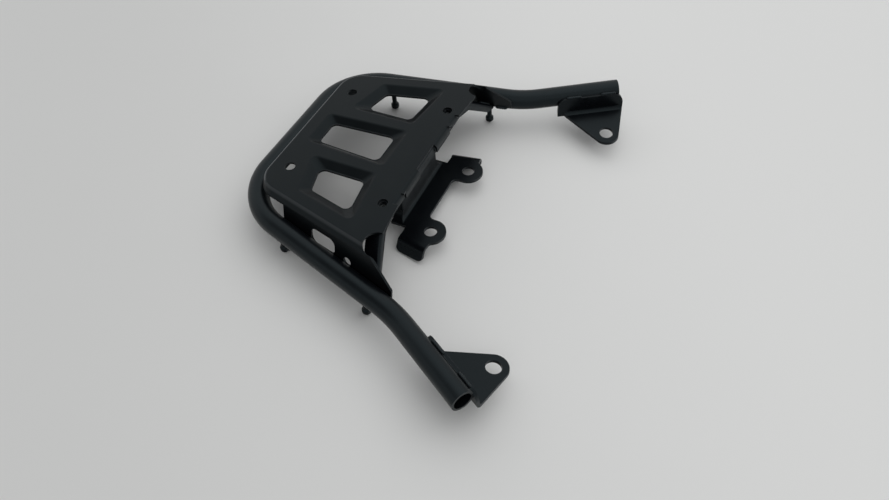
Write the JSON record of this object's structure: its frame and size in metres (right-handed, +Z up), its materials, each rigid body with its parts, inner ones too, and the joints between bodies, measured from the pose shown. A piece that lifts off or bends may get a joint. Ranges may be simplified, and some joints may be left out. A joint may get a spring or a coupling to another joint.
{
  "type": "top case bracket",
  "caption": "Welded rear carrier for a motorbike top case: a bent tube hoop round a pressed plate with strap windows, a lower bracket with lugs, folded side tabs and cord hooks.",
  "frame": {"origin": "on the plate's top face, midway between its two front bolt holes", "axes": "+X to the bike's right, +Y forwards to the open tube ends, +Z up out of the plate's top face"},
  "size_m": [0.4132, 0.2962, 0.0639],
  "materials": {
    "satin_black": "satin black powder coat on steel"
  },
  "bodies": {
    "root": {"main_tube": "satin_black", "carrier_plate": "satin_black", "cross_beam": "satin_black", "lower_bracket": "satin_black", "right_weld_nut": "satin_black", "left_weld_nut": "satin_black", "right_mounting_tab": "satin_black", "left_mounting_tab": "satin_black", "right_rear_cord_hook": "satin_black", "left_rear_cord_hook": "satin_black", "right_front_cord_hook": "satin_black", "left_front_cord_hook": "satin_black"}
  },
  "joints": []
}
